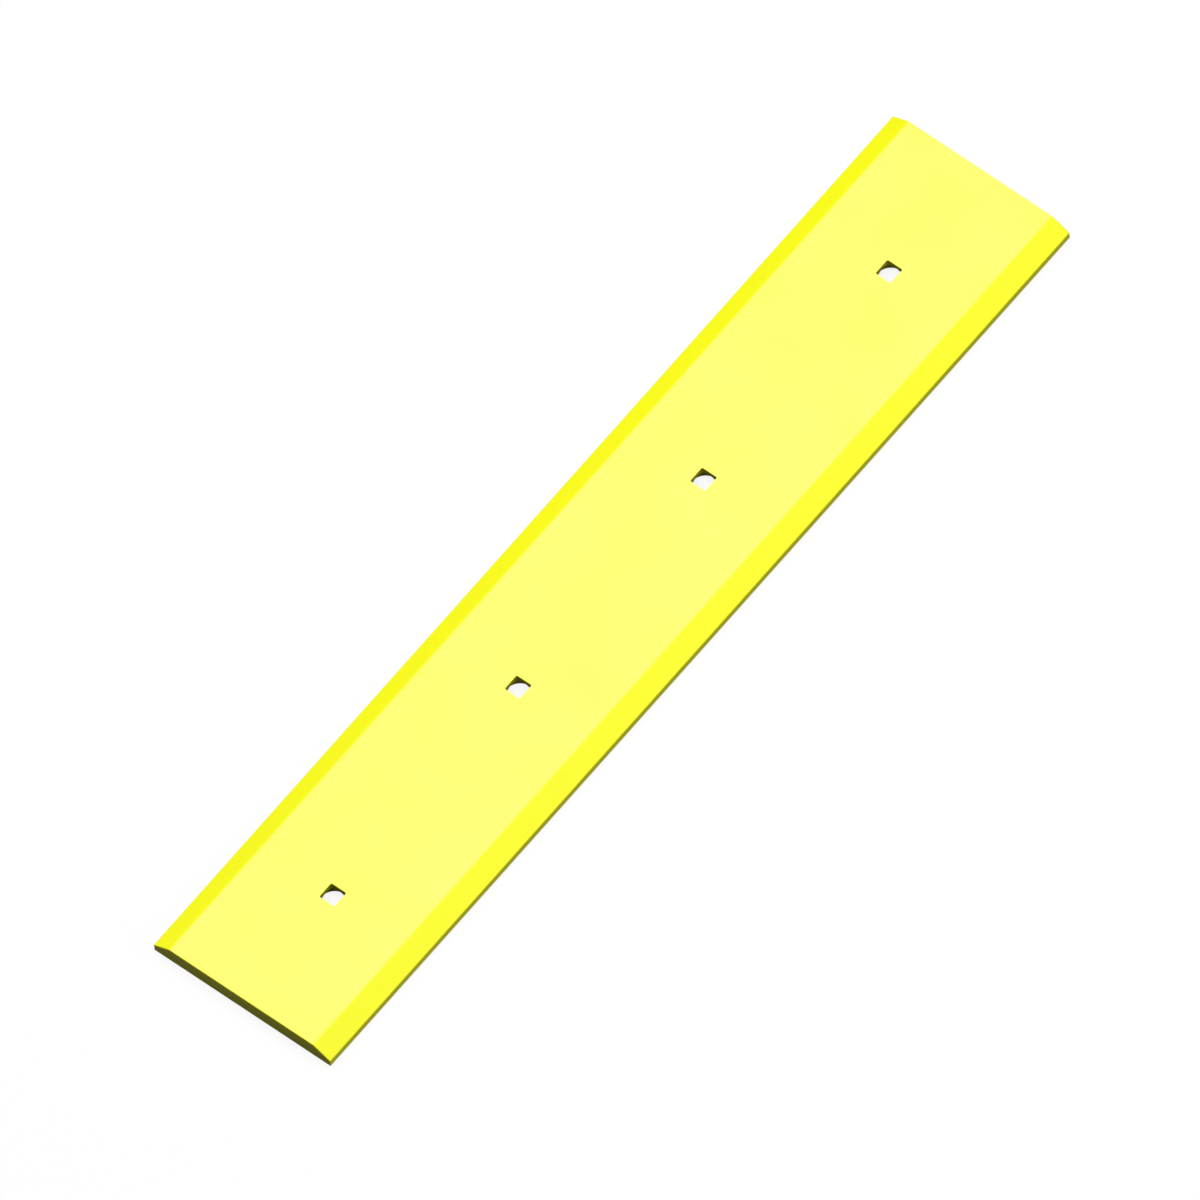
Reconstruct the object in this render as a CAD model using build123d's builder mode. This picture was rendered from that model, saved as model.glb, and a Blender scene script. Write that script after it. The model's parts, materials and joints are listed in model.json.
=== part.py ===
from build123d import *
import os
from math import radians, tan

# Reversible cutting edge for an earthmoving blade, rolled from wear steel in one piece.
# It lies on its flat wear face. Both long edges carry the same bevel above a blunt lip,
# so the edge can be turned round when one side has worn away. A row of plow-bolt holes
# runs along the middle: square from the land, opening into a round, countersunk pocket
# for the bolt head on the wear face.
# The origin is on the wear face at the middle of the edge, with X along the lips,
# Y across the section and Z through the thickness. All sizes are in millimetres.

# Rolled section
width = 203.0
thickness = 19.0
lip_height = 8.8
bevel_angle = 28.5
lip_corner_radius = 1.0
land_corner_radius = 6.0

# Bolt row and cut ends
hole_count = 4
hole_pitch = 267.0
end_distance = 132.0
end_break = 0.5

# Plow-bolt hole
neck_width = 17.2
neck_corner_radius = 1.2
neck_mouth_radius = 0.4
pocket_diameter = 29.0
pocket_depth = 6.3
countersink_angle = 80.0
countersink_overrun = 1.0

# Sizes that follow
length = (hole_count - 1) * hole_pitch + 2 * end_distance
half_width = width / 2
bevel_run = (thickness - lip_height) / tan(radians(bevel_angle))
half_land = half_width - bevel_run
pocket_radius = pocket_diameter / 2
countersink_tip_radius = neck_width / 2 - countersink_overrun
countersink_depth = (pocket_radius - countersink_tip_radius) / tan(radians(countersink_angle / 2))
on_wear_face = (Align.CENTER, Align.CENTER, Align.MIN)

with BuildPart() as cutting_edge:
    # Rolled bar: flat wear face, a blunt lip on each side, a bevel up to the land
    with BuildSketch(Plane.YZ.offset(-length / 2)) as section:
        with BuildLine():
            Polyline(
                (-half_width, 0),
                (half_width, 0),
                (half_width, lip_height),
                (half_land, thickness),
                (-half_land, thickness),
                (-half_width, lip_height),
                close=True,
            )
        make_face()
        wear_corners, lip_corners, land_corners = section.vertices().group_by(Axis.Y)
        fillet(wear_corners + lip_corners, radius=lip_corner_radius)
        fillet(section.vertices().filter_by_position(Axis.Y, thickness, thickness), radius=land_corner_radius)
    extrude(amount=length)

    # Cut ends, square, with the burr taken off
    chamfer(faces().filter_by(Axis.X).edges(), length=end_break)

    # Square necks, punched from the land
    with BuildSketch(Plane.XY.offset(thickness)):
        with GridLocations(hole_pitch, 0, hole_count, 1):
            RectangleRounded(neck_width, neck_width, neck_corner_radius)
    extrude(amount=-thickness, mode=Mode.SUBTRACT)

    # Rolled mouths, where the punch drew the land in
    land_face = faces().sort_by(Axis.Z)[-1]
    fillet(land_face.inner_wires().edges(), radius=neck_mouth_radius)

    # Head pockets in the wear face, straight and then countersunk into the necks
    with GridLocations(hole_pitch, 0, hole_count, 1):
        Cylinder(pocket_radius, pocket_depth, align=on_wear_face, mode=Mode.SUBTRACT)
        with Locations((0, 0, pocket_depth)):
            Cone(
                pocket_radius,
                countersink_tip_radius,
                countersink_depth,
                align=on_wear_face,
                mode=Mode.SUBTRACT,
            )

cutting_edge.part.label = "cutting_edge"

os.makedirs("parts", exist_ok=True)
export_step(cutting_edge.part, "parts/cutting_edge.step")
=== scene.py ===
"""Dressed model of a reversible cutting edge, sprayed yellow and laid flat in a studio.

The bar is one rolled piece: a wide land with a bevel down to a blunt lip on each side, and a
row of plow-bolt holes, square from the land and opened into round head pockets in the wear
face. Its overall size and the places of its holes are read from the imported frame.
"""

import json
import logging
from collections.abc import Iterable, Mapping, Sequence
from dataclasses import dataclass, field
from enum import IntEnum
from math import atan2, cos, hypot, pi, radians, sin, tan

import bmesh
import bpy
from mathutils import Matrix, Vector


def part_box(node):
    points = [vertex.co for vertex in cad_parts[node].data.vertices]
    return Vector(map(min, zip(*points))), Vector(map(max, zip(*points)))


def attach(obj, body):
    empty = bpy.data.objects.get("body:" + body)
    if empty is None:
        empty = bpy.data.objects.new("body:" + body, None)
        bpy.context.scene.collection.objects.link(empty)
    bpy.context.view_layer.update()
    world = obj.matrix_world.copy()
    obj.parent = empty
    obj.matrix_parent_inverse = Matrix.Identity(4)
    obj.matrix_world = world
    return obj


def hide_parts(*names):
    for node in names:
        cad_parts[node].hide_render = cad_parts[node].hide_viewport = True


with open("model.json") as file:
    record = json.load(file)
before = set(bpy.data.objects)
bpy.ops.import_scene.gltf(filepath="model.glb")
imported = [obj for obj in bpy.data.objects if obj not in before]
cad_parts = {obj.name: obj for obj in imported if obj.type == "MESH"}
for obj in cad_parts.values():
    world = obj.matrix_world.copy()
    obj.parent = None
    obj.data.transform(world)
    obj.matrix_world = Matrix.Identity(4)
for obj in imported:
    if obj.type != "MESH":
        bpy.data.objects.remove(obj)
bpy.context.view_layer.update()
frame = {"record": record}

MM = 0.001
NODE = "cutting_edge"
BODY = "root"

log = logging.getLogger(NODE)


def linear(hex_colour: str) -> tuple[float, float, float, float]:
    """Turn an sRGB hex colour into the linear colour that shaders take.

    Args:
        hex_colour: Colour such as "#FDFE08".

    Returns:
        Linear red, green and blue, with an alpha of one.
    """
    channels = [int(hex_colour[i : i + 2], 16) / 255 for i in (1, 3, 5)]
    red, green, blue = (c / 12.92 if c <= 0.04045 else ((c + 0.055) / 1.055) ** 2.4 for c in channels)
    return red, green, blue, 1.0


def add_node(
    tree: bpy.types.NodeTree,
    kind: str,
    inputs: Mapping[str | int, object] | None = None,
    **settings: object,
) -> bpy.types.Node:
    """Add a node to a tree, with its settings, values and links.

    Args:
        tree: Shader or geometry tree that receives the node.
        kind: Blender's identifier for the node type.
        inputs: A value or a source socket for each input, by name or number.
        **settings: Properties of the node itself.

    Returns:
        The new node.
    """
    node = tree.nodes.new(kind)
    for name, value in settings.items():
        setattr(node, name, value)
    for key, value in (inputs or {}).items():
        if isinstance(value, bpy.types.NodeSocket):
            tree.links.new(value, node.inputs[key])
        else:
            node.inputs[key].default_value = value
    return node


class Substrate(IntEnum):
    """How the steel under the paint was made, which sets the relief that shows through and, in the holes, a
    darker yellow that is painted shade.
    """

    ROLLED = 0
    SAWN = 1
    PUNCHED = 2
    BORED = 3


@dataclass(frozen=True)
class Relief:
    """One scale of unevenness in a painted surface.

    Attributes:
        grain_mm: Size of one feature along X, Y and Z.
        height_mm: How far the surface rises and falls.
        detail: Octaves of finer noise.
    """

    grain_mm: tuple[float, float, float]
    height_mm: float
    detail: float = 2.0


@dataclass(frozen=True)
class SprayedEnamel:
    """Semi-gloss enamel sprayed on one kind of steel surface.

    The film is opaque lemon yellow with a little orange peel, so broad lights wash it paler
    and break up slightly. The steel's own relief shows through it as a second texture.

    Attributes:
        substrate: Steel surface under the film.
        relief: Unevenness of that steel surface.
        colour: Full film colour; the hole finishes set a darker one, as painted shade.
        thin_colour: Colour where the film lies thinner; darker in the hole finishes, also as painted shade.
        roughness: Mean roughness of the film.
    """

    substrate: Substrate
    relief: Relief
    colour: str = "#FDFE08"
    thin_colour: str = "#F6F705"
    roughness: float = 0.33
    roughness_spread: float = 0.05
    cloud_mm: float = 70.0
    peel: Relief = Relief((3.2, 3.2, 3.2), 0.012, 1.0)
    ior: float = 1.5

    def material(self) -> bpy.types.Material:
        """Build the node material for this surface.

        Returns:
            The finished material.
        """
        material = bpy.data.materials.new(f"sprayed_enamel_on_{self.substrate.name.lower()}_steel")
        material.use_nodes = True
        tree = material.node_tree
        tree.nodes.clear()
        place = add_node(tree, "ShaderNodeTexCoord").outputs["Object"]

        cloud = self._noise(tree, place, Relief((self.cloud_mm,) * 3, 0.0, 3.0))
        film = add_node(
            tree,
            "ShaderNodeMix",
            {0: cloud, 6: linear(self.thin_colour), 7: linear(self.colour)},
            data_type="RGBA",
        )
        gloss = add_node(
            tree,
            "ShaderNodeMapRange",
            {
                "Value": cloud,
                "To Min": self.roughness + self.roughness_spread,
                "To Max": self.roughness - self.roughness_spread,
            },
        )
        normal = None
        for layer in (self.relief, self.peel):
            links = {"Height": self._noise(tree, place, layer), "Distance": layer.height_mm * MM}
            if normal is not None:
                links["Normal"] = normal
            normal = add_node(tree, "ShaderNodeBump", links).outputs["Normal"]
        shader = add_node(
            tree,
            "ShaderNodeBsdfPrincipled",
            {
                "Base Color": film.outputs[2],
                "Roughness": gloss.outputs["Result"],
                "Normal": normal,
                "IOR": self.ior,
            },
        )
        add_node(tree, "ShaderNodeOutputMaterial", {"Surface": shader.outputs["BSDF"]})
        return material

    @staticmethod
    def _noise(tree: bpy.types.NodeTree, place: bpy.types.NodeSocket, layer: Relief) -> bpy.types.NodeSocket:
        """Lay a noise over the bar with the layer's real grain size.

        Args:
            tree: Material's tree.
            place: Object coordinates, in metres.
            layer: Relief whose grain and detail are used.

        Returns:
            The noise's value, about 0.5 on average.
        """
        scale = tuple(1 / (size * MM) for size in layer.grain_mm)
        grid = add_node(tree, "ShaderNodeMapping", {"Vector": place, "Scale": scale})
        noise = add_node(
            tree,
            "ShaderNodeTexNoise",
            {"Vector": grid.outputs["Vector"], "Scale": 1.0, "Detail": layer.detail},
        )
        return noise.outputs["Fac"]


# Rolling leaves long shallow marks, the saw leaves lines across the end, the punch drags the
# neck's walls along its travel, and the pocket drill leaves rings.
FINISHES = (
    SprayedEnamel(Substrate.ROLLED, Relief((34.0, 9.0, 9.0), 0.06, 3.0)),
    SprayedEnamel(Substrate.SAWN, Relief((9.0, 1.1, 16.0), 0.05)),
    # The neck and pocket finishes are painted a darker yellow: painted shade inside the bolt holes.
    SprayedEnamel(Substrate.PUNCHED, Relief((1.2, 1.2, 14.0), 0.08), "#C8C809", "#989807"),
    SprayedEnamel(Substrate.BORED, Relief((11.0, 11.0, 0.9), 0.05), "#C8C809", "#989807"),
)


def round_corner(
    before: Vector, corner: Vector, after: Vector, radius: float, steps: int
) -> list[Vector]:
    """Round one corner of an outline.

    Args:
        before: Outline point before the corner.
        corner: The sharp corner.
        after: Outline point after the corner.
        radius: Radius of the round.
        steps: Straight steps that the arc is drawn with.

    Returns:
        Points of the arc, from the side of before to the side of after.
    """
    back = (before - corner).normalized()
    ahead = (after - corner).normalized()
    half = back.angle(ahead) / 2
    centre = corner + (back + ahead).normalized() * (radius / sin(half))
    start = (corner + back * (radius / tan(half)) - centre).normalized()
    end = (corner + ahead * (radius / tan(half)) - centre).normalized()
    return [centre + start.slerp(end, step / steps) * radius for step in range(steps + 1)]


@dataclass(frozen=True)
class RolledSection:
    """Cross-section of the bar, in the YZ plane, in metres.

    Attributes:
        half_width: From the bolt row to a lip.
        thickness: From the wear face to the land.
        lip_height: Height of the blunt lip.
        bevel_angle: Slope of the bevel, in radians.
        lip_radius: Round on the lip's corners.
        land_radius: Round where a bevel meets the land.
        face_steps: Steps across the land, and across the wear face.
        arc_steps: Steps round each corner.
    """

    half_width: float
    thickness: float
    lip_height: float = 8.8 * MM
    bevel_angle: float = radians(28.5)
    lip_radius: float = 1.0 * MM
    land_radius: float = 6.0 * MM
    face_steps: int = 16
    arc_steps: int = 4

    def flank(self, inset: float = 0.0) -> list[Vector]:
        """Outline of one side, from the land over the bevel and lip to the wear face.

        Args:
            inset: How far the outline is drawn in on all sides.

        Returns:
            Points as (y, z), on the +Y side.
        """
        slope_y, slope_z = sin(self.bevel_angle), cos(self.bevel_angle)
        reach = slope_y * self.half_width + slope_z * self.lip_height - inset
        side, top = self.half_width - inset, self.thickness - inset
        land = Vector(((reach - slope_z * top) / slope_y, top))
        lip = Vector((side, (reach - slope_y * side) / slope_z))
        wear = Vector((side, inset))
        middle_top, middle_bottom = Vector((0, top)), Vector((0, inset))
        lip_radius = self.lip_radius - inset
        return [
            *round_corner(middle_top, land, lip, self.land_radius - inset, self.arc_steps),
            *round_corner(land, lip, wear, lip_radius, self.arc_steps),
            *round_corner(lip, wear, middle_bottom, lip_radius, self.arc_steps),
        ]

    def ring(self, x: float, inset: float = 0.0) -> list[Vector]:
        """Closed outline of the whole section.

        Args:
            x: Place along the bar.
            inset: How far the outline is drawn in on all sides.

        Returns:
            Points in space, with the land first.
        """
        flank = self.flank(inset)
        land, wear = flank[0], flank[-1]
        shares = [1 - 2 * step / self.face_steps for step in range(self.face_steps + 1)]
        outline = [(-share * land.x, land.y) for share in shares]
        outline += [tuple(point) for point in flank[1:-1]]
        outline += [(share * wear.x, wear.y) for share in shares]
        outline += [(-point.x, point.y) for point in reversed(flank[1:-1])]
        return [Vector((x, y, z)) for y, z in outline]


class Skin:
    """Open or closed surface that is sewn together from rows of points."""

    def __init__(self) -> None:
        """Start with no faces."""
        self.mesh = bmesh.new()
        self.substrates = self.mesh.faces.layers.int.new("substrate")

    def sew(
        self, rows: Iterable[Sequence[Vector]], substrate: Substrate, closed: bool = True
    ) -> None:
        """Join each row of points to the next with quads.

        Args:
            rows: Rows with the same number of points.
            substrate: Steel surface that the quads belong to.
            closed: Whether each row runs back to its first point.
        """
        lines = [[self.mesh.verts.new(point) for point in row] for row in rows]
        for line, following in zip(lines, lines[1:]):
            count = len(line) if closed else len(line) - 1
            for i in range(count):
                j = (i + 1) % len(line)
                quad = self.mesh.faces.new((line[i], line[j], following[j], following[i]))
                quad[self.substrates] = substrate

    def cap(self, ring: Sequence[Vector], substrate: Substrate) -> None:
        """Close a ring of points with one flat face.

        Args:
            ring: Points of the rim, in order.
            substrate: Steel surface that the face belongs to.
        """
        face = self.mesh.faces.new([self.mesh.verts.new(point) for point in ring])
        face[self.substrates] = substrate

    def finish(self, name: str) -> bpy.types.Object:
        """Weld the rows and hand over the surface as an object.

        Args:
            name: Name of the object and its mesh.

        Returns:
            The linked object, at the origin.
        """
        bmesh.ops.remove_doubles(self.mesh, verts=self.mesh.verts, dist=WELD)
        mesh = bpy.data.meshes.new(name)
        self.mesh.to_mesh(mesh)
        self.mesh.free()
        piece = bpy.data.objects.new(name, mesh)
        bpy.context.scene.collection.objects.link(piece)
        return piece


WELD = 0.002 * MM


@dataclass(frozen=True)
class BoltHole:
    """Plow-bolt hole: a square punched neck over a countersunk round pocket.

    Attributes:
        pocket_radius: Radius of the head pocket.
        pocket_depth: Depth of its straight part.
        cone_angle: Half of the countersink's angle, in radians.
        half_neck: Half of the square's width.
        neck_radius: Round in the square's corners.
        mouth_roll: Round that the punch leaves at the land.
        rim_break: Round at the pocket's rim.
    """

    pocket_radius: float
    pocket_depth: float
    cone_angle: float = radians(40.0)
    half_neck: float = 8.6 * MM
    neck_radius: float = 1.2 * MM
    mouth_roll: float = 0.4 * MM
    rim_break: float = 0.3 * MM
    arc_steps: int = 3
    flat_steps: int = 10

    @property
    def side_steps(self) -> int:
        """Steps along one side of the square, from corner to corner."""
        return 2 * self.arc_steps + self.flat_steps

    def square(self, grow: float = 0.0) -> list[tuple[float, float]]:
        """Outline of the square neck, drawn out all round.

        Args:
            grow: How far the outline is drawn out.

        Returns:
            Points from the middle of one corner round to it again.
        """
        straight = self.half_neck - self.neck_radius
        radius = self.neck_radius + grow
        side = []
        for step in range(self.arc_steps):
            angle = pi / 4 * (step / self.arc_steps - 1)
            side.append((straight + radius * cos(angle), -straight + radius * sin(angle)))
        for step in range(self.flat_steps):
            side.append((straight + radius, straight * (2 * step / self.flat_steps - 1)))
        for step in range(self.arc_steps):
            angle = pi / 4 * step / self.arc_steps
            side.append((straight + radius * cos(angle), straight + radius * sin(angle)))
        turned = side + [(-y, x) for x, y in side]
        return turned + [(-x, -y) for x, y in turned]

    def circle(self, radius: float, z: float) -> list[Vector]:
        """Circle whose points face those of the square.

        Args:
            radius: Radius of the circle.
            z: Height of the circle.

        Returns:
            Points of the circle.
        """
        bearings = [atan2(y, x) for x, y in self.square()]
        return [Vector((radius * cos(a), radius * sin(a), z)) for a in bearings]

    def mouth(self, land: float, steps: int = 3) -> list[list[Vector]]:
        """Rolled edge of the square at the land.

        Args:
            land: Height of the land.
            steps: Steps round the roll.

        Returns:
            Rows of points, from the land down to the neck.
        """
        rows = []
        for step in range(steps + 1):
            turn = pi / 2 * step / steps
            z = land - self.mouth_roll * (1 - cos(turn))
            outline = self.square(self.mouth_roll * (1 - sin(turn)))
            rows.append([Vector((x, y, z)) for x, y in outline])
        return rows

    def neck_foot(self) -> list[Vector]:
        """Edge where the square neck runs out into the cone."""
        foot = []
        for x, y in self.square():
            rise = (self.pocket_radius - hypot(x, y)) / tan(self.cone_angle)
            foot.append(Vector((x, y, self.pocket_depth + rise)))
        return foot

    def rim(self, steps: int = 3) -> list[list[Vector]]:
        """Broken edge of the pocket at the wear face, from the wall down."""
        rows = []
        for step in range(steps + 1):
            turn = pi / 2 * step / steps
            radius = self.pocket_radius + self.rim_break * (1 - cos(turn))
            rows.append(self.circle(radius, self.rim_break * (1 - sin(turn))))
        return rows


@dataclass(frozen=True)
class BoltStation:
    """Short stretch of the bar round one bolt hole, centred on the hole."""

    section: RolledSection
    hole: BoltHole
    half_length: float = 30.0 * MM

    def build(self) -> bpy.types.Object:
        """Sew the stretch's land, hole, wear face and flanks."""
        skin = Skin()
        flank = self.section.flank()
        mouth, rim = self.hole.mouth(self.section.thickness), self.hole.rim()
        skin.sew([self._frame(*flank[0]), mouth[0]], Substrate.ROLLED)
        skin.sew(mouth, Substrate.ROLLED)
        skin.sew([mouth[-1], self.hole.neck_foot()], Substrate.PUNCHED)
        seat = self.hole.circle(self.hole.pocket_radius, self.hole.pocket_depth)
        skin.sew([self.hole.neck_foot(), seat], Substrate.BORED)
        skin.sew([seat, rim[0]], Substrate.BORED)
        skin.sew(rim, Substrate.BORED)
        skin.sew([rim[-1], self._frame(*flank[-1])], Substrate.ROLLED)
        for side in (1, -1):
            rows = [[Vector((x, side * y, z)) for x in self._stops()] for y, z in flank]
            skin.sew(rows, Substrate.ROLLED, closed=False)
        return skin.finish("bolt_station")

    def _stops(self) -> list[float]:
        """Places along X of the stretch's rows, from +X to -X."""
        steps = self.section.face_steps
        return [self.half_length * (1 - 2 * step / steps) for step in range(steps + 1)]

    def _frame(self, half_width: float, z: float) -> list[Vector]:
        """Rectangle round the hole whose points face those of the square.

        Args:
            half_width: Half of the rectangle's size in Y.
            z: Height of the rectangle.

        Returns:
            Points of the rectangle, from one corner round to it again.
        """
        stops = self._stops()[:-1]
        across = [x / self.half_length * half_width for x in stops]
        outline = [(self.half_length, -y) for y in across]
        outline += [(x, half_width) for x in stops]
        outline += [(-self.half_length, y) for y in across]
        outline += [(-x, -half_width) for x in stops]
        return [Vector((x, y, z)) for x, y in outline]


@dataclass(frozen=True)
class PlainRun:
    """Undrilled stretch between two bolt stations, centred on the origin."""

    section: RolledSection
    half_length: float
    steps: int = 4

    def build(self) -> bpy.types.Object:
        """Sew the stretch's skin, open at both ends."""
        skin = Skin()
        stops = [self.half_length * (1 - 2 * step / self.steps) for step in range(self.steps + 1)]
        skin.sew([self.section.ring(x) for x in stops], Substrate.ROLLED)
        return skin.finish("plain_run")


@dataclass(frozen=True)
class CutEnd:
    """Last stretch of the bar at +X, with its sawn face.

    Attributes:
        section: Cross-section of the bar.
        start: X where the stretch begins.
        end: X of the sawn face.
        edge_break: Size of the broken edge round the sawn face.
    """

    section: RolledSection
    start: float
    end: float
    edge_break: float = 0.5 * MM
    steps: int = 3

    def build(self) -> bpy.types.Object:
        """Sew the stretch's skin and close it with the sawn face."""
        skin = Skin()
        length = self.end - self.edge_break - self.start
        stops = [self.start + length * step / self.steps for step in range(self.steps + 1)]
        rings = [self.section.ring(x) for x in stops]
        face = self.section.ring(self.end, self.edge_break)
        skin.sew(rings, Substrate.ROLLED)
        skin.sew([rings[-1], face], Substrate.SAWN)
        skin.cap(face, Substrate.SAWN)
        return skin.finish("cut_end")


@dataclass
class BoltRowTree:
    """Geometry tree that repeats the stations and runs at the bolt pitch and adds the ends."""

    identifiers: dict[str, str] = field(default_factory=dict)

    def build(self) -> bpy.types.NodeTree:
        """Build the tree.

        Returns:
            The node group, whose named inputs are listed in identifiers.
        """
        tree = bpy.data.node_groups.new("bolt_row", "GeometryNodeTree")
        sockets = {
            "Geometry": "NodeSocketGeometry",
            "Plain run": "NodeSocketObject",
            "Cut end": "NodeSocketObject",
            "Pitch": "NodeSocketFloat",
            "Stations": "NodeSocketInt",
            **{f"{kind.name.title()} finish": "NodeSocketMaterial" for kind in Substrate},
        }
        for name, kind in sockets.items():
            socket = tree.interface.new_socket(name=name, in_out="INPUT", socket_type=kind)
            self.identifiers[name] = socket.identifier
        tree.interface.new_socket(name="Geometry", in_out="OUTPUT", socket_type="NodeSocketGeometry")
        given = add_node(tree, "NodeGroupInput").outputs

        run = add_node(tree, "GeometryNodeObjectInfo", {"Object": given["Plain run"]})
        end = add_node(tree, "GeometryNodeObjectInfo", {"Object": given["Cut end"]})
        runs = add_node(tree, "ShaderNodeMath", {0: given["Stations"], 1: 1.0}, operation="SUBTRACT")
        turn = add_node(
            tree,
            "ShaderNodeMath",
            {0: add_node(tree, "GeometryNodeInputIndex").outputs[0], 1: pi},
            operation="MULTIPLY",
        )
        half_turn = add_node(tree, "ShaderNodeCombineXYZ", {"Z": turn.outputs[0]})
        pair = add_node(tree, "GeometryNodeMeshLine", {"Count": 2, "Offset": (0, 0, 0)})
        ends = add_node(
            tree,
            "GeometryNodeInstanceOnPoints",
            {
                "Points": pair.outputs[0],
                "Instance": end.outputs["Geometry"],
                "Rotation": half_turn.outputs[0],
            },
        )
        rows = [
            self._row(tree, given["Geometry"], given["Stations"], given["Pitch"]),
            self._row(tree, run.outputs["Geometry"], runs.outputs[0], given["Pitch"]),
            ends.outputs[0],
        ]
        whole = add_node(tree, "GeometryNodeJoinGeometry")
        for row in rows:
            tree.links.new(row, whole.inputs[0])
        real = add_node(tree, "GeometryNodeRealizeInstances", {0: whole.outputs[0]})
        welded = add_node(
            tree, "GeometryNodeMergeByDistance", {"Geometry": real.outputs[0], "Distance": WELD}
        )
        skin = welded.outputs[0]
        surface = add_node(
            tree, "GeometryNodeInputNamedAttribute", {"Name": "substrate"}, data_type="INT"
        )
        for kind in Substrate:
            mine = add_node(
                tree,
                "FunctionNodeCompare",
                {2: surface.outputs[0], 3: int(kind)},
                data_type="INT",
                operation="EQUAL",
            )
            dressed = add_node(
                tree,
                "GeometryNodeSetMaterial",
                {
                    "Geometry": skin,
                    "Selection": mine.outputs[0],
                    "Material": given[f"{kind.name.title()} finish"],
                },
            )
            skin = dressed.outputs[0]
        add_node(tree, "NodeGroupOutput", {0: skin})
        return tree

    @staticmethod
    def _row(
        tree: bpy.types.NodeTree,
        shape: bpy.types.NodeSocket,
        count: bpy.types.NodeSocket,
        pitch: bpy.types.NodeSocket,
    ) -> bpy.types.NodeSocket:
        """Repeat a shape along X, centred on the origin.

        Args:
            tree: Geometry tree.
            shape: Shape that is repeated.
            count: How many copies.
            pitch: Distance from one copy to the next.

        Returns:
            The copies, as instances.
        """
        gaps = add_node(tree, "ShaderNodeMath", {0: count, 1: 1.0}, operation="SUBTRACT")
        span = add_node(tree, "ShaderNodeMath", {0: gaps.outputs[0], 1: pitch}, operation="MULTIPLY")
        first = add_node(tree, "ShaderNodeMath", {0: span.outputs[0], 1: -0.5}, operation="MULTIPLY")
        start = add_node(tree, "ShaderNodeCombineXYZ", {"X": first.outputs[0]})
        offset = add_node(tree, "ShaderNodeCombineXYZ", {"X": pitch})
        line = add_node(
            tree,
            "GeometryNodeMeshLine",
            {"Count": count, "Start Location": start.outputs[0], "Offset": offset.outputs[0]},
        )
        copies = add_node(
            tree, "GeometryNodeInstanceOnPoints", {"Points": line.outputs[0], "Instance": shape}
        )
        return copies.outputs[0]


@dataclass(frozen=True)
class CuttingEdge:
    """The whole bar.

    Attributes:
        section: Cross-section.
        hole: Shape of each bolt hole.
        length: From sawn face to sawn face.
        pitch: Distance between bolt holes.
        stations: Number of bolt holes.
        crease: Angle past which an edge is drawn sharp, in radians.
    """

    section: RolledSection
    hole: BoltHole
    length: float
    pitch: float
    stations: int
    crease: float = radians(32.0)

    @classmethod
    def from_frame(cls) -> "CuttingEdge":
        """Take the bar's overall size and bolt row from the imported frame."""
        low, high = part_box(NODE)
        holes = [mount for mount in frame["record"]["mounts"] if mount["kind"] == "bore"]
        places = sorted(mount["pos_m"][0] for mount in holes)
        pocket = holes[0]["dims"]
        return cls(
            section=RolledSection(half_width=high.y, thickness=high.z),
            hole=BoltHole(pocket_radius=pocket["r_mm"] * MM, pocket_depth=pocket["length_mm"] * MM),
            length=high.x - low.x,
            pitch=places[1] - places[0],
            stations=len(places),
        )

    def build(self) -> bpy.types.Object:
        """Make the bar as one closed mesh, dress it, hide the imported part and hang the bar on its body.

        Returns:
            The finished piece.
        """
        station = BoltStation(self.section, self.hole)
        run = PlainRun(self.section, self.pitch / 2 - station.half_length)
        start = (self.stations - 1) * self.pitch / 2 + station.half_length
        end = CutEnd(self.section, start, self.length / 2)
        base, helpers = station.build(), (run.build(), end.build())
        tree = BoltRowTree()
        modifier = base.modifiers.new("bolt_row", "NODES")
        modifier.node_group = tree.build()
        values = {
            "Plain run": helpers[0],
            "Cut end": helpers[1],
            "Pitch": self.pitch,
            "Stations": self.stations,
            **{f"{f.substrate.name.title()} finish": f.material() for f in FINISHES},
        }
        for name, value in values.items():
            modifier[tree.identifiers[name]] = value
        piece = self._flatten(base, "painted_cutting_edge")
        for helper in (base, *helpers):
            bpy.data.objects.remove(helper)
        self._shade(piece)
        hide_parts(NODE)
        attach(piece, BODY)
        return piece

    @staticmethod
    def _flatten(source: bpy.types.Object, name: str) -> bpy.types.Object:
        """Turn an object's evaluated modifiers into a plain mesh object.

        Args:
            source: Object with live modifiers.
            name: Name of the plain object.

        Returns:
            The new object, at the origin and without modifiers.
        """
        graph = bpy.context.evaluated_depsgraph_get()
        mesh = bpy.data.meshes.new_from_object(source.evaluated_get(graph), depsgraph=graph)
        mesh.name = name
        while len(mesh.materials) > 1 and mesh.materials[0] is None:
            mesh.materials.pop(index=0)
        plain = bpy.data.objects.new(name, mesh)
        bpy.context.scene.collection.objects.link(plain)
        return plain

    def _shade(self, piece: bpy.types.Object) -> None:
        """Point the faces outwards and shade the rounds smoothly into the flats.

        Args:
            piece: The welded bar.
        """
        shell = bmesh.new()
        shell.from_mesh(piece.data)
        bmesh.ops.recalc_face_normals(shell, faces=shell.faces)
        for face in shell.faces:
            face.smooth = True
        for edge in shell.edges:
            edge.smooth = edge.calc_face_angle(0.0) < self.crease
        shell.to_mesh(piece.data)
        shell.free()
        weights = piece.modifiers.new("flat_faces_lead", "WEIGHTED_NORMAL")
        weights.keep_sharp = True
        smooth = self._flatten(piece, piece.name)
        old = piece.data
        piece.modifiers.clear()
        piece.data = smooth.data
        bpy.data.objects.remove(smooth)
        bpy.data.meshes.remove(old)


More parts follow.
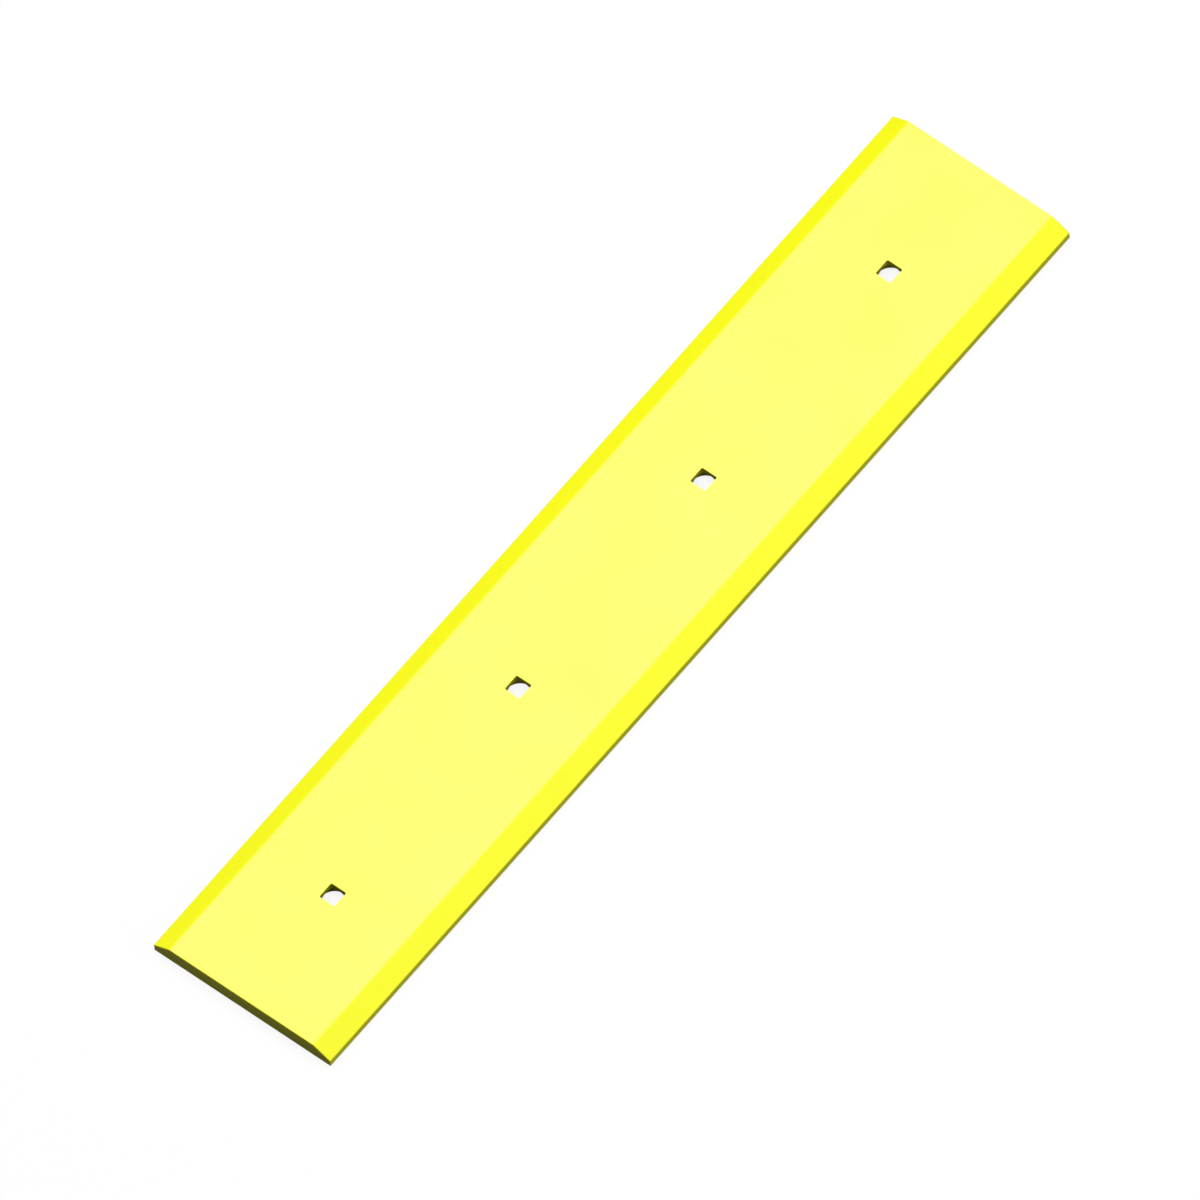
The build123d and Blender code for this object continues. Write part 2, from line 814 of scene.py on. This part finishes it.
@dataclass(frozen=True)
class Softbox:
    """Square studio light that looks at the origin.

    Attributes:
        name: Name of the lamp.
        direction: Where it hangs, seen from the bar.
        distance: How far away it hangs, in metres.
        side: Size of the square, in metres.
        level: What it adds to white paint that faces it, where 1 is full white.
    """

    name: str
    direction: tuple[float, float, float]
    distance: float
    side: float
    level: float

    def build(self) -> bpy.types.Object:
        """Hang the lamp."""
        lamp = bpy.data.lights.new(self.name, "AREA")
        lamp.shape = "SQUARE"
        lamp.size = self.side
        lamp.energy = self.level * pi**2 * self.distance**2
        holder = bpy.data.objects.new(self.name, lamp)
        toward = Vector(self.direction).normalized()
        holder.location = toward * self.distance
        holder.rotation_mode = "QUATERNION"
        holder.rotation_quaternion = toward.to_track_quat("Z", "Y")
        holder.visible_camera = False
        bpy.context.scene.collection.objects.link(holder)
        return holder


@dataclass(frozen=True)
class Studio:
    """Pale floor, white surroundings and soft lamps.

    Attributes:
        lamps: The softboxes.
        floor_half: Half of the floor's side, in metres.
        floor_gap: Gap that keeps the floor out of the wear face, in metres.
        ambient: Level of the surroundings as light on the bar.
        floor_glow: Share of the floor's white that no shadow takes away.
        floor_fill: Share of the floor's grey that reaches under the bar as well.
        floor_white: Colour of the floor as the camera sees it.
        floor_grey: Colour of the light that the floor sends back to the bar.
        dome_rise: Heights, as sines, between which the reflected dome turns from dim to white.
    """

    lamps: tuple[Softbox, ...]
    floor_half: float = 12.0
    floor_gap: float = 0.2 * MM
    ambient: float = 0.05
    floor_glow: float = 0.90
    floor_fill: float = 0.3
    floor_white: str = "#FEFEFE"
    floor_grey: str = "#606060"
    dome_rise: tuple[float, float] = (0.2, 0.6)

    def build(self) -> None:
        """Lay the floor, light the scene and set the colour management."""
        for lamp in self.lamps:
            lamp.build()
        self._floor()
        self._surroundings()
        bpy.context.scene.view_settings.view_transform = "Standard"

    def _floor(self) -> None:
        """Lay the floor under the wear face."""
        skin = bmesh.new()
        bmesh.ops.create_grid(skin, x_segments=1, y_segments=1, size=self.floor_half)
        mesh = bpy.data.meshes.new("studio_floor")
        skin.to_mesh(mesh)
        skin.free()
        mesh.materials.append(self._floor_paint())
        floor = bpy.data.objects.new("studio_floor", mesh)
        floor.location.z = -self.floor_gap
        bpy.context.scene.collection.objects.link(floor)

    def _floor_paint(self) -> bpy.types.Material:
        """White to the camera, with the bar's shadow, grey as light from below, one-sided."""
        material = bpy.data.materials.new("matt_floor_paint")
        material.use_nodes = True
        material.cycles.emission_sampling = "NONE"
        tree = material.node_tree
        tree.nodes.clear()
        white, grey = linear(self.floor_white), linear(self.floor_grey)
        lit = add_node(tree, "ShaderNodeBsdfDiffuse", {"Color": white})
        glow = add_node(tree, "ShaderNodeEmission", {"Color": white, "Strength": 1.0})
        seen = add_node(
            tree, "ShaderNodeMixShader", {0: self.floor_glow, 1: lit.outputs[0], 2: glow.outputs[0]}
        )
        matt = add_node(tree, "ShaderNodeBsdfDiffuse", {"Color": grey})
        fill = add_node(tree, "ShaderNodeEmission", {"Color": grey, "Strength": 1.0})
        bounce = add_node(
            tree, "ShaderNodeMixShader", {0: self.floor_fill, 1: matt.outputs[0], 2: fill.outputs[0]}
        )
        camera_ray = add_node(tree, "ShaderNodeLightPath").outputs["Is Camera Ray"]
        upper = add_node(
            tree, "ShaderNodeMixShader", {0: camera_ray, 1: bounce.outputs[0], 2: seen.outputs[0]}
        )
        from_below = add_node(tree, "ShaderNodeNewGeometry").outputs["Backfacing"]
        clear = add_node(tree, "ShaderNodeBsdfTransparent")
        sided = add_node(
            tree, "ShaderNodeMixShader", {0: from_below, 1: upper.outputs[0], 2: clear.outputs[0]}
        )
        add_node(tree, "ShaderNodeOutputMaterial", {"Surface": sided.outputs[0]})
        return material

    def _surroundings(self) -> None:
        """White to the camera, a pale dome in reflections, and dim as light."""
        world = bpy.data.worlds.new("studio_surroundings")
        world.use_nodes = True
        world.cycles.sampling_method = "NONE"
        tree = world.node_tree
        tree.nodes.clear()
        rays = add_node(tree, "ShaderNodeLightPath").outputs
        direction = add_node(tree, "ShaderNodeTexCoord").outputs["Generated"]
        height = add_node(tree, "ShaderNodeSeparateXYZ", {0: direction}).outputs["Z"]
        low, high = self.dome_rise
        dome = add_node(
            tree,
            "ShaderNodeMapRange",
            {"Value": height, "From Min": low, "From Max": high, "To Min": self.ambient, "To Max": 1.0},
        )
        cast = add_node(
            tree, "ShaderNodeMix", {0: rays["Is Glossy Ray"], 2: self.ambient, 3: dome.outputs["Result"]}
        )
        seen = add_node(
            tree,
            "ShaderNodeMath",
            {0: rays["Is Camera Ray"], 1: rays["Is Transmission Ray"]},
            operation="MAXIMUM",
        )
        strength = add_node(tree, "ShaderNodeMix", {0: seen.outputs[0], 2: cast.outputs[0], 3: 1.0})
        shine = add_node(
            tree,
            "ShaderNodeBackground",
            {"Color": linear("#FFFFFF"), "Strength": strength.outputs[0]},
        )
        add_node(tree, "ShaderNodeOutputWorld", {"Surface": shine.outputs[0]})
        bpy.context.scene.world = world


@dataclass(frozen=True)
class ParallelCamera:
    """Camera without perspective, turned and framed as in the photograph.

    Attributes:
        azimuth: Turn round the bar, in degrees; 0 looks along +Y.
        elevation: Height above the horizon, in degrees.
        roll: Lean of the picture, in degrees.
        frame_size: Real width of the square picture, in metres.
        origin_right: How far right of the picture's centre the bar's origin shows, in metres.
        origin_up: How far above the picture's centre the bar's origin shows, in metres.
        distance: From the origin to the camera, in metres.
    """

    azimuth: float = -44.84
    elevation: float = 59.88
    roll: float = -7.56
    frame_size: float = 1.07604
    origin_right: float = 0.010985
    origin_up: float = 0.005757
    distance: float = 3.0

    def build(self) -> bpy.types.Object:
        """Set up the camera and make it the scene's own."""
        azimuth, elevation = radians(self.azimuth), radians(self.elevation)
        back = Vector(
            (sin(azimuth) * cos(elevation), -cos(azimuth) * cos(elevation), sin(elevation))
        )
        level = Vector((cos(azimuth), sin(azimuth), 0.0))
        right = Matrix.Rotation(radians(self.roll), 3, back) @ level
        up = back.cross(right)
        data = bpy.data.cameras.new("photo_view")
        data.type = "ORTHO"
        data.ortho_scale = self.frame_size
        camera = bpy.data.objects.new("photo_view", data)
        place = Matrix((right, up, back)).transposed().to_4x4()
        place.translation = back * self.distance - right * self.origin_right - up * self.origin_up
        camera.matrix_world = place
        bpy.context.scene.collection.objects.link(camera)
        bpy.context.scene.camera = camera
        return camera


# The key hangs where the land mirrors it into the camera, so the land looks paler than the
# bevels. The side lamp reaches one bevel and its lip; the ends stay in shade.
LAMPS = (
    Softbox("key_softbox", (0.354, 0.356, 0.865), 9.0, 3.8, 0.40),
    Softbox("overhead_softbox", (0.0, 0.0, 1.0), 6.0, 2.0, 0.55),
    Softbox("near_side_softbox", (0.10, -0.93, 0.36), 5.0, 2.4, 0.272),
    Softbox("bevel_softbox", (0.354, -0.505, 0.788), 5.0, 2.4, 0.055),
    Softbox("far_side_softbox", (0.0, 0.80, 0.60), 5.0, 2.4, 0.16),
)


def main() -> None:
    """Build the bar, the studio and the camera, and log the bar's face count."""
    logging.basicConfig(level=logging.INFO, format="%(name)s: %(message)s")
    piece = CuttingEdge.from_frame().build()
    log.info("%s: %d faces", piece.name, len(piece.data.polygons))
    Studio(LAMPS).build()
    ParallelCamera().build()


if __name__ == "__main__":
    main()
